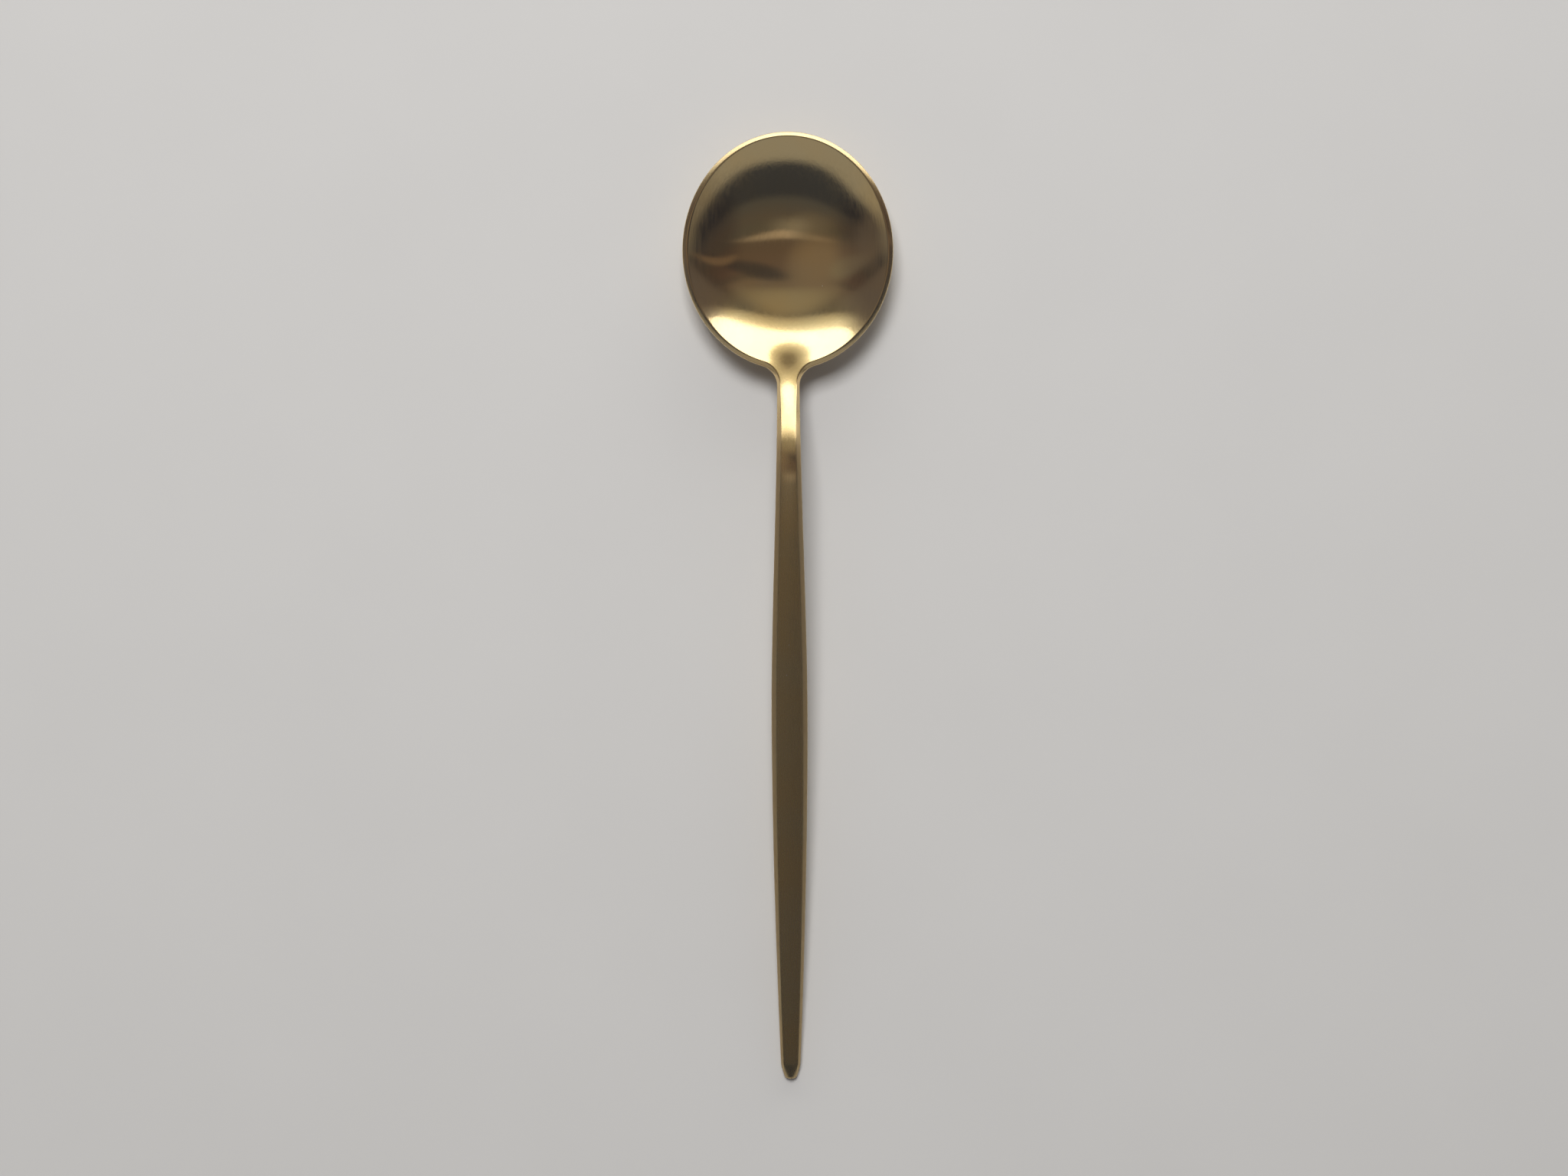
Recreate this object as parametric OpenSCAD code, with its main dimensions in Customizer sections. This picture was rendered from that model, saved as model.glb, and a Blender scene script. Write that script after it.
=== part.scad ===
// Sugar spoon: a round pressed bowl whose neck climbs into a slender hollow handle.
// The bowl, its neck and the tang behind it are one pressing. Two thin shells close
// over the tang on a filling of cement. Braze joins them to each other along their
// sides and to the shoulder of the neck.
// +Z is up and +Y points to the tip of the bowl. The origin is in the middle of the
// small flat under the bowl, on the surface that the spoon lies on.

/* [Bowl] */
// Width of the bowl across its outline
bowl_w = 30; // [26:0.5:34]
// Length of the bowl from the heel to the tip
bowl_l = 33.8; // [30:0.2:38]
// Depth of the hollow below the rim
hollow_d = 6.2; // [5.6:0.1:7.2]
// Thickness of the metal in the middle of the bowl
bowl_t = 1.2; // [1:0.1:1.6]
// Thickness of the metal at the rim
rim_t = 0.9; // [0.7:0.05:1.2]
// Width of the flat under the bowl
foot_w = 6; // [4:0.5:8]

/* [Edge] */
// Width of the sloped edge round the bowl and along the neck, seen from above
edge_w = 0.66; // [0.5:0.01:0.75]
// Width of the sloped edge at the end of the fillet, where it is narrowest
fillet_edge_w = 0.45; // [0.35:0.01:0.6]
// Length along the neck over which the edge widens again
edge_in = 7; // [5:0.5:9]
// Width of the sloped edge at the widest point of the handle
swell_edge_w = 0.75; // [0.6:0.05:0.9]
// Width of the sloped edge at the end of the handle
end_edge_w = 0.3; // [0.2:0.05:0.4]
// Drop of the sloped edge round the bowl, from the top face to the side
rim_drop = 0.42; // [0.3:0.02:0.5]
// Drop of the sloped edge along the neck and the handle
edge_drop = 0.55; // [0.4:0.05:0.65]

/* [Neck] */
// Length of the neck from the heel of the bowl to the joint with the handle
neck_l = 17; // [15:0.5:20]
// Width of the neck where it is narrowest
neck_w = 3.2; // [3:0.1:4]
// Thickness of the neck
neck_t = 2.6; // [2.4:0.1:3.2]
// Radius of the fillet between the outline of the bowl and the neck
fillet_r = 3; // [2:0.1:4]
// Distance from the heel back to the lip, where the hollow runs out into the neck
lip_setback = 1.6; // [1:0.1:2.2]
// Length over which the wall of the hollow rolls over to the lip
lip_roll = 3.4; // [2.4:0.1:4.4]
// Slope of the lip in degrees
lip_slope = 23; // [17:1:27]
// Length over which the neck takes up its climb past the lip
climb_in = 5.2; // [4:0.1:6.4]
// Slope of the climb in degrees
climb_slope = 30; // [24:1:34]
// Width of the dip in the heel of the bowl, where the hollow runs out into the neck
dip_w = 9; // [7:0.1:10]
// Length past that over which the trough behind the dip levels out
trough_l = 4; // [2:0.1:5]
// Length of the bend over the crest, up to the joint
crest_l = 9.4; // [8:0.1:11.5]

/* [Handle] */
// Length of the handle from the joint to its end
handle_l = 84.9; // [70:0.1:100]
// Distance from the joint to the widest point of the handle
wide_l = 33; // [26:0.5:42]
// Width of the handle at its widest point
handle_w = 5.1; // [4.4:0.1:6.5]
// Thickness of the handle at its widest point
handle_t = 4; // [3.4:0.1:5]
// Width of the end of the handle
end_w = 2.6; // [2.3:0.1:3.2]
// Thickness of the end of the handle
end_t = 2; // [1.8:0.1:2.6]
// Length over which the end of the handle is rounded off
end_l = 2.3; // [1.6:0.1:3]
// How far this rounding draws in each side
end_draw = 0.55; // [0.35:0.05:0.7]
// Radius of the corners of the end, seen from above
end_r = 0.3; // [0.15:0.05:0.4]
// Rise of the top face from its edges to its middle
crown = 0.12; // [0.05:0.01:0.2]

/* [Joints] */
// Thickness of the shells of the handle
shell_t = 0.6; // [0.45:0.05:0.7]
// Length of the end of the handle that the shells close up, with no hollow
closed_l = 6; // [4:0.5:10]
// Length of the tang inside the handle
tang_l = 30; // [15:0.5:40]
// Thickness of the cement between the tang and the mouth of the shells
bond_t = 0.15; // [0.1:0.01:0.22]
// Thickness of the braze at the neck
braze_t = 0.15; // [0.1:0.01:0.3]
// Thickness of the braze along the sides
seam_t = 0.1; // [0.06:0.01:0.16]
// Clearance round the cement and the tang
fit_gap = 0.03; // [0.01:0.01:0.05]

/* [Hidden] */

gold = "#8f7b56";
cement = "#b9b2a4";
braze_metal = "#b08d48";

// Counts of steps along the outline and round the section
tip_steps = 18;
heel_steps = 15;
fillet_steps = 8;
neck_steps = 14;
handle_steps = 24;
end_steps = 4;
tang_steps = 6;
top_steps = 7;
edge_steps = 3;
under_steps = 7;
search_steps = 40;

// Share of the thickness that the rounded underside of the neck and handle takes
belly_share = 0.42;
// Most of its face that the sloped edge may take
edge_limit_share = 0.6;
// How much the sloped edge bows: 0 for a flat slope, 1 for one that starts level
edge_bow_share = 0.15;
// How far the spine reaches into the tip half of the bowl
spine_share = 0.5;
// Size of the tang's end, of its root
tang_tip_share = 0.6;
// How much of its rounding from above the end has from the side
end_round_share = 0.5;
// How much of the handle's width the closed part of a shell folds over at its seam
fold_share = 0.5;
// How far the braze bulges into the hollow, of half the hollow's width
bulge_share = 0.5;
// How fast the handle narrows from its widest point to its end
taper_power = 1.75;
// How fast the rounded end draws in
end_power = 1.4;

// Outline of the bowl and of the hollow inside its sloped edge
bowl_a = bowl_w / 2;
bowl_b = bowl_l / 2;
hollow_a = bowl_a - edge_w;
hollow_b = bowl_b - edge_w;

// Runs: distances along the spoon from the middle of the bowl, towards the end of the handle
lip_run = bowl_b - lip_setback;
roll_run = lip_run - lip_roll;
climb_run = lip_run + climb_in;
trough_run = climb_run + trough_l;
joint_run = bowl_b + neck_l;
crest_run = joint_run - crest_l;
mouth_run = joint_run + braze_t;
wide_run = joint_run + wide_l;
end_run = joint_run + handle_l;
land_run = end_run - end_l;
corner_run = end_run - end_r;
close_run = end_run - closed_l;
tang_run = joint_run + tang_l;

// Heights of the bowl, whose underside is cut by the flat it stands on
under_d = bowl_t + hollow_d - rim_t;
foot_cut = under_d * pow(foot_w / bowl_w, 2);
floor_z = bowl_t - foot_cut;
rim_z = floor_z + hollow_d;

// Slopes and heights along the middle of the top face
roll_m = 2 * hollow_d * roll_run / pow(hollow_b, 2);
lip_m = tan(lip_slope);
climb_m = tan(climb_slope);
roll_z = floor_z + hollow_d * pow(roll_run / hollow_b, 2);
under_m = 2 * under_d * roll_run / pow(bowl_b, 2);
under_roll_z = under_d * pow(roll_run / bowl_b, 2) - foot_cut;
lip_z = roll_z + lip_roll * (roll_m + lip_m) / 2;
climb_z = lip_z + climb_in * (lip_m + climb_m) / 2;
crest_z = climb_z + (crest_run - climb_run) * climb_m;
fall_m = (crest_z + crest_l * climb_m / 2 - end_t) / (land_run - joint_run + crest_l / 2);
joint_z = crest_z + crest_l * (climb_m - fall_m) / 2;

// Fillet between the bowl's outline and the neck
fillet_x = neck_w / 2 + fillet_r;
fillet_a = fillet_angle(0, 90, search_steps);
fillet_turn = atan2(bowl_a * sin(fillet_a), bowl_b * cos(fillet_a));
fillet_run = bowl_b * sin(fillet_a) + fillet_r * sin(fillet_turn);

// Places in a half section, counted from the middle of the top to the middle of the underside
part_i = top_steps + edge_steps + 1;
last_i = part_i + 1 + under_steps;

// Eases from 0 to 1 and blends two values
function ease(t) = let (c = min(1, max(0, t))) c * c * (3 - 2 * c);
function mix(a, b, t) = a + (b - a) * t;
function span(v, from, to) = (v - from) / (to - from);

// Height on a bend that starts at height z and turns from slope m0 to slope m1 over a length
function bend(z, m0, m1, from, to, s) = let (t = span(s, from, to))
    z + (to - from) * (m0 * t + (m1 - m0) * (pow(t, 3) - pow(t, 4) / 2));

// Height on a sweep between two heights, with a slope at each
function sweep(z0, m0, z1, m1, from, to, s) = let (t = span(s, from, to), l = to - from)
    mix(z0, z1, ease(t)) + l * t * (1 - t) * (m0 * (1 - t) - m1 * t);

// Angle on the outline of the bowl where the fillet touches it
function fillet_reach(a) =
    (bowl_a + fillet_r * bowl_b / norm([bowl_b * cos(a), bowl_a * sin(a)])) * cos(a);
function fillet_angle(low, high, steps) = let (mid = (low + high) / 2)
    steps == 0 ? mid
    : fillet_reach(mid) > fillet_x ? fillet_angle(mid, high, steps - 1)
    : fillet_angle(low, mid, steps - 1);

// How much the rounded end and its corners draw in at a run
function corner_inset(s) = end_r - sqrt(max(0, pow(end_r, 2) - pow(max(0, s - corner_run), 2)));
function end_inset(s) = s <= land_run ? 0
    : end_draw * pow(span(s, land_run, end_run), end_power) + corner_inset(s);

// Half width of the neck and handle
function half_width(s) = -end_inset(s) + (s < wide_run
    ? mix(neck_w, handle_w, ease(span(s, fillet_run, wide_run)))
    : mix(handle_w, end_w, pow(span(s, wide_run, end_run), taper_power))) / 2;

// Thickness of the handle, from the crest on
function handle_thickness(s) = s < wide_run
    ? mix(neck_t, handle_t, ease(span(s, crest_run, wide_run)))
    : mix(handle_t, end_t, pow(span(s, wide_run, land_run), taper_power));

// How far a run has left the bowl for the neck
function neck_share(s) = ease(span(s, roll_run, climb_run));

// Line along the middle of the top face, before the end is rounded
function spine_z(s) = s < roll_run ? floor_z + hollow_d * pow(s / hollow_b, 2)
    : s < lip_run ? bend(roll_z, roll_m, lip_m, roll_run, lip_run, s)
    : s < climb_run ? bend(lip_z, lip_m, climb_m, lip_run, climb_run, s)
    : s < crest_run ? climb_z + (s - climb_run) * climb_m
    : s < joint_run ? bend(crest_z, climb_m, -fall_m, crest_run, joint_run, s)
    : joint_z - (s - joint_run) * fall_m;

// Line along the middle of the underside: the bowl, one sweep under the neck, and the handle
function belly_z(s) = s < roll_run ? -foot_cut + under_d * pow(s / bowl_b, 2)
    : s < crest_run ? sweep(under_roll_z, under_m, crest_z - neck_t, climb_m, roll_run, crest_run, s)
    : spine_z(s) - handle_thickness(s);

// Middle of the top face, the edge of the handle's top face and the middle of the underside
function top_z(s) = spine_z(s) - end_round_share * end_inset(s);
function edge_z(s) = top_z(s) - crown;
function under_z(s) = belly_z(s) + end_round_share * end_inset(s);

// Height of the side below the top face, sloped edge included
function side_h(s) = mix(rim_t, (top_z(s) - under_z(s)) * (1 - belly_share) - crown, neck_share(s));
function swell_share(s) = max(0, span(2 * half_width(s), neck_w, handle_w));
function neck_edge(s) = mix(fillet_edge_w, edge_w, ease(span(s, fillet_run, fillet_run + edge_in)));
function local_edge(s) = min(edge_limit_share * half_width(s), s < wide_run
    ? mix(neck_edge(s), swell_edge_w, swell_share(s))
    : mix(swell_edge_w, end_edge_w, span(s, wide_run, end_run)));
function local_drop(s) = min(mix(rim_drop, edge_drop, neck_share(s)), edge_limit_share * side_h(s));

// Middle of the side, and the plane in which the two shells part
function side_mid_z(s) = edge_z(s) - (local_drop(s) + side_h(s)) / 2;
function part_z(s) = s < joint_run ? side_mid_z(s)
    : mix(side_mid_z(joint_run), side_mid_z(end_run), span(s, joint_run, end_run));

// Height of the hollow, and of the heel, where the hollow dips in the middle to meet the neck
function hollow_z(p) = floor_z + hollow_d * (pow(p[0] / hollow_a, 2) + pow(p[1] / hollow_b, 2));
function dip_share(x) = exp(-pow(2 * x / dip_w, 2));
function heel_z(p) = hollow_z(p) - (hollow_z([0, p[1]]) - top_z(p[1])) * dip_share(p[0]);

// Height of the top face at a place, on the rib whose edge is at i
function upper_z(p, i) = p[1] < roll_run ? hollow_z(p)
    : mix(heel_z(p), top_z(p[1]) - crown * pow(p[0] / i[0], 2), ease(span(p[1], lip_run, trough_run)));

// Underside at share q of the way from the outline o to the spine: dished bowl and rounded neck
function dished(o, root, base, q) = let (p = mix(o, root, q)) [p[0], p[1], max(0, p[1] < 0
    ? -foot_cut + under_d * (pow(p[0] / bowl_a, 2) + pow(p[1] / bowl_b, 2))
    : mix(under_z(o[1]), base, pow(1 - q, 2)))];
function rounded(o, base, q) = [o[0] * cos(90 * q), o[1], mix(base, under_z(o[1]), sin(90 * q))];

// Share of that way at which the underside meets the flat, or the last step where it passes it by
function foot_q(o, root) = let (
        u = [o[0] / bowl_a, o[1] / bowl_b],
        way = [root[0] / bowl_a, root[1] / bowl_b] - u,
        foot_share = foot_w / bowl_w,
        turn = u * way / (way * way),
        depth = (u * u - pow(foot_share, 2)) / (way * way))
    norm(u + way) < foot_share ? -turn - sqrt(max(0, pow(turn, 2) - depth))
    : (under_steps - 1) / under_steps;

// Half section from the spine over the edge, whose inner line is at i and outline at o, and back below
function rib(i, o) = let (
        s = i[1],
        top = upper_z(i, i),
        base = top - side_h(s),
        drop = local_drop(s),
        middle = s < joint_run ? top - (drop + side_h(s)) / 2 : part_z(s),
        top_root = [0, s < 0 ? spine_share * s : s],
        under_root = [0, o[1] < 0 ? spine_share * o[1] : o[1]])
    concat(
        [for (n = [0 : top_steps]) let (p = mix(top_root, i, n / top_steps)) [p[0], p[1], upper_z(p, i)]],
        [for (n = [1 : edge_steps]) let (t = n / edge_steps, p = mix(i, o, t))
            [p[0], p[1], top - drop * t * mix(1, t, edge_bow_share)]],
        [[o[0], o[1], middle], [o[0], o[1], base]],
        [for (n = [1 : under_steps])
            let (q = n == under_steps ? 1 : foot_q(o, under_root) * n / (under_steps - 1))
            mix(dished(o, under_root, base, q), rounded(o, base, q), neck_share(s))]);

// Half section of the neck or handle at a run
function section(s) = rib([half_width(s) - local_edge(s), s], [half_width(s), s]);

// Ribs from the tip of the bowl, round its outline and the fillet, and along the neck to the joint
function arc_rib(a) = let (o = [bowl_a * cos(a), bowl_b * sin(a)], n = [bowl_b * cos(a), bowl_a * sin(a)])
    rib(o - edge_w * n / norm(n), o);
function fillet_rib(a) = let (
        c = [fillet_x, fillet_run],
        d = [cos(a), sin(a)],
        edge = mix(fillet_edge_w, edge_w, ease((a - 180) / fillet_turn)))
    rib(c + (fillet_r + edge) * d, c + fillet_r * d);
front_ribs = concat(
    [for (n = [0 : tip_steps]) arc_rib(mix(-90, 0, n / tip_steps))],
    [for (n = [1 : heel_steps]) arc_rib(mix(0, fillet_a, n / heel_steps))],
    [for (n = [1 : fillet_steps]) fillet_rib(mix(180 + fillet_turn, 180, n / fillet_steps))],
    [for (n = [1 : neck_steps]) section(mix(fillet_run, joint_run, n / neck_steps))]);

// Runs of the handle's sections, with the hollow closing between the last two of the first list
hollow_runs = [for (n = [0 : handle_steps]) mix(mouth_run, close_run, n / handle_steps)];
closed_runs = concat(
    [for (n = [1 : end_steps]) mix(close_run, land_run, n / end_steps)],
    [for (n = [1 : end_steps]) mix(land_run, corner_run, n / end_steps)],
    [for (n = [1 : end_steps]) corner_run + end_r * sin(90 * n / end_steps)]);

// A point moved in from the outside of the handle by a wall
function inward(p, wall) = let (
        s = p[1],
        seam = part_z(s),
        reach = p[2] > seam ? top_z(s) - seam : seam - under_z(s))
    [p[0] * (half_width(s) - wall) / half_width(s), s, seam + (p[2] - seam) * (reach - wall) / reach];

// Both halves of a section: an open line from side to side, and a closed ring from the top
function flip(p) = [-p[0], p[1], p[2]];
function line(half) = concat([for (n = [len(half) - 1 : -1 : 1]) flip(half[n])], half);
function ring(half) = concat(half, [for (n = [len(half) - 2 : -1 : 1]) flip(half[n])]);
function reversed(list) = [for (n = [len(list) - 1 : -1 : 0]) list[n]];

// Ring of a shell: its outside, and back along its inside or, where it is closed, along its seam
function seam_point(s, x, side) = [x, s, part_z(s) + side * seam_t / 2];
function shell_ring(s, side, hollow) = let (
        half = section(s),
        wide = half_width(s),
        fold_x = hollow ? wide - shell_t : wide * fold_share,
        skin = [for (n = side > 0 ? [0 : part_i - 1] : [last_i : -1 : part_i + 1]) half[n]],
        outside = concat(skin, [seam_point(s, wide, side)]),
        inside = [for (n = [0 : len(skin)]) hollow && n < len(skin) ? inward(skin[n], shell_t)
            : seam_point(s, fold_x * n / len(skin), side)],
        round = concat(line(outside), reversed(line(inside))))
    side > 0 ? round : [for (p = round) flip(p)];

// Ring of the handle's hollow, with a gap to the shells
function filler_ring(s) = ring([for (p = section(s)) inward(p, shell_t + fit_gap)]);

// Ring of the tang, or of its socket with a gap, along the middle of the handle
function tang_ring(s, gap) = let (
        size_share = mix(1, tang_tip_share, span(s, joint_run, tang_run)),
        wall = shell_t + fit_gap + bond_t,
        root_x = half_width(joint_run),
        root_z = (top_z(joint_run) - under_z(joint_run)) / 2,
        root_mid = top_z(joint_run) - root_z,
        half_x = (root_x - wall) * size_share + gap,
        half_z = (root_z - wall) * size_share + gap,
        mid = (top_z(s) + under_z(s)) / 2)
    ring([for (p = section(joint_run))
        [p[0] * half_x / root_x, s, mid + (p[2] - root_mid) * half_z / root_z]]);
tang_runs = [for (n = [0 : tang_steps]) mix(joint_run, tang_run, n / tang_steps)];

// From runs to the frame of the spoon, where the handle points along -Y
function placed(points) = [for (p = points) [p[0], -p[1], p[2]]];

// Two triangles of a four-cornered face, parted from a to c or, turned, from b to d
function split(a, b, c, d, turned = false) = turned ? [[b, c, d], [b, d, a]] : [[a, b, c], [a, c, d]];

// Faces between two rings whose points are listed by number
function band(from, to) = let (n = len(from)) [for (j = [0 : n - 1])
    each split(from[j], from[(j + 1) % n], to[(j + 1) % n], to[j])];
function numbers(start, count) = [for (j = [0 : count - 1]) start + j];

// Face across a ring: whole for a round one, in strips for one that is folded back on itself
function whole_cap(ids) = [ids];
function folded_cap(ids) = let (n = len(ids), middle = n / 4) [for (j = [0 : n / 2 - 2])
    each split(ids[j], ids[j + 1], ids[n - 2 - j], ids[n - 1 - j], turned = j < middle)];

// Solid through rings of equal count, closed by a face at each end
module loft(rings, folded = false) {
    n = len(rings[0]);
    last = len(rings) - 1;
    sides = [for (k = [0 : last - 1]) each band(numbers(k * n, n), numbers((k + 1) * n, n))];
    first_ids = reversed(numbers(0, n));
    last_ids = numbers(last * n, n);
    caps = folded ? concat(folded_cap(first_ids), folded_cap(last_ids))
        : concat(whole_cap(first_ids), whole_cap(last_ids));
    polyhedron(placed([for (r = rings) each r]), concat(sides, caps), convexity = last);
}

// Solid through rings of equal count, whose last ring meets the first
module loop_loft(rings) {
    n = len(rings[0]);
    count = len(rings);
    sides = [for (k = [0 : count - 1]) each band(numbers(k * n, n), numbers((k + 1) % count * n, n))];
    polyhedron(placed([for (r = rings) each r]), sides, convexity = count);
}

// Pressed bowl with its neck and tang, in one skin
module bowl() {
    last = len(front_ribs) - 1;
    size = last_i + 1;
    right = [for (r = front_ribs) each r];
    left = [for (r = front_ribs) each [for (p = r) flip(p)]];
    tang = [for (s = tang_runs) each tang_ring(s, 0)];
    ring_size = 2 * last_i;
    left_start = len(right);
    tang_start = 2 * left_start;
    function right_id(k, g) = k * size + g;
    function left_id(k, g) = (k == 0 || g == 0 || g == last_i ? 0 : left_start) + k * size + g;
    skin = [for (k = [0 : last - 1], g = [0 : last_i - 1]) let (below = g > part_i) each concat(
        split(right_id(k, g), right_id(k, g + 1), right_id(k + 1, g + 1), right_id(k + 1, g), below),
        split(left_id(k, g), left_id(k + 1, g), left_id(k + 1, g + 1), left_id(k, g + 1), below))];
    shoulder = concat(
        [for (g = [0 : last_i]) right_id(last, g)],
        [for (g = [last_i - 1 : -1 : 1]) left_id(last, g)]);
    tang_ids = [for (k = [0 : tang_steps]) numbers(tang_start + k * ring_size, ring_size)];
    tang_faces = concat(
        band(shoulder, tang_ids[0]),
        [for (k = [0 : tang_steps - 1]) each band(tang_ids[k], tang_ids[k + 1])],
        whole_cap(tang_ids[tang_steps]));
    color(gold)
        polyhedron(placed(concat(right, left, tang)), concat(skin, tang_faces), convexity = last);
}

// Half shells of the handle, closed at the end
module shell(side) {
    loft(concat(
        [for (n = [0 : handle_steps - 1]) shell_ring(hollow_runs[n], side, true)],
        [shell_ring(close_run, side, false)],
        [for (s = closed_runs) shell_ring(s, side, false)]), folded = true);
}

module handle_upper_shell() {
    color(gold) shell(1);
}

module handle_lower_shell() {
    color(gold) shell(-1);
}

// Cement in the hollow of the handle, with the socket that holds the tang
module handle_filler() {
    socket_run = tang_run + fit_gap;
    color(cement) loft(concat(
        [for (n = [tang_steps : -1 : 0]) tang_ring(mix(mouth_run, socket_run, n / tang_steps), fit_gap)],
        [for (n = [0 : handle_steps - 1]) filler_ring(hollow_runs[n])]));
}

// Ring of braze between the shoulder of the neck and the mouths of the shells
module neck_braze() {
    color(braze_metal) loop_loft([
        ring(section(joint_run)), ring(section(mouth_run)),
        tang_ring(mouth_run, fit_gap), tang_ring(joint_run, fit_gap)]);
}

// Braze along both sides and across the closed end, where it bulges into the hollow
module seam_braze() {
    inner_x = half_width(close_run) - shell_t;
    closed = len(closed_runs);
    function bar(out_x, out_run, in_x, in_run) = [
        seam_point(out_run, out_x, 1), seam_point(out_run, out_x, -1),
        seam_point(in_run, in_x, -1), seam_point(in_run, in_x, 1)];
    right = concat(
        [for (s = hollow_runs) bar(half_width(s), s, half_width(s) - shell_t, s)],
        [for (n = [1 : closed]) let (s = closed_runs[n - 1], t = n / (closed + 1))
            bar(half_width(s), s, inner_x * (1 - t), close_run - inner_x * bulge_share * t * (2 - t))]);
    left = reversed([for (b = right) [for (p = b) flip(p)]]);
    color(braze_metal) loft(concat(right, left));
}

bowl();
handle_upper_shell();
handle_lower_shell();
handle_filler();
neck_braze();
seam_braze();
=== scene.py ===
"""A sugar spoon in satin champagne gold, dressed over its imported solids.

The outside of the spoon is one smooth form. It is drawn once as a skin and then cut at
the joints into the pieces that the spoon is made of, so that the pieces meet flush.
"""

import logging
import math
from dataclasses import dataclass, field
from enum import Enum

import bpy
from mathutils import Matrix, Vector


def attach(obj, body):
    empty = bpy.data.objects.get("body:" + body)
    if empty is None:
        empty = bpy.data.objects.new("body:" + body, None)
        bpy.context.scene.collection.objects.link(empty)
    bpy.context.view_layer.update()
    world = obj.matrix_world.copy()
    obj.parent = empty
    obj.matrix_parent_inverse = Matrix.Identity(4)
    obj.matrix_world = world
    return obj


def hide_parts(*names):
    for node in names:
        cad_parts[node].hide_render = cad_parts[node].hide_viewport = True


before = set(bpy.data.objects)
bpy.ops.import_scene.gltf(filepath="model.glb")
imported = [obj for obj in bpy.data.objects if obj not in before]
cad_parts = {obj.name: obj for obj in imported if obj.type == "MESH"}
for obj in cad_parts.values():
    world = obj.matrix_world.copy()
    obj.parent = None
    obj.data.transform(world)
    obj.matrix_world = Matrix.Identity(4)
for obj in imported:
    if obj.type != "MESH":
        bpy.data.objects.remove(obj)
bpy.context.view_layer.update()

log = logging.getLogger("sugar_spoon")

MM = 0.001
# Share of edge wear and painted sheen per point: it dulls the edges and lightens their colour towards a
# paler gold.
WEAR_AND_SHEEN = "edge_wear_and_sheen"
BRUSH_MAP = "brush_lines"
MIRROR_MERGE = 1e-7
WELD = 2e-7
SLIVER = 1e-8
NOISE_RANGE = (0.3, 0.7)
ALONG = Vector((0, 1, 0))

Point = tuple[float, float, float]
Colour = tuple[float, float, float]


class Side(Enum):
    """The side of a cutting plane that stays, or the half of the handle."""

    UPPER = 1
    LOWER = -1


def ease(t: float) -> float:
    """Returns a smooth step from 0 to 1."""
    c = min(1.0, max(0.0, t))
    return c * c * (3 - 2 * c)


def mix(a: float, b: float, t: float) -> float:
    """Returns the value at share t of the way from a to b."""
    return a + (b - a) * t


def span(v: float, start: float, end: float) -> float:
    """Returns where v lies between start and end, as a share."""
    return (v - start) / (end - start)


def stations(start: float, end: float, count: int) -> list[float]:
    """Returns the values from start to end in even steps, without the start."""
    return [mix(start, end, n / count) for n in range(1, count + 1)]


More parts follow.
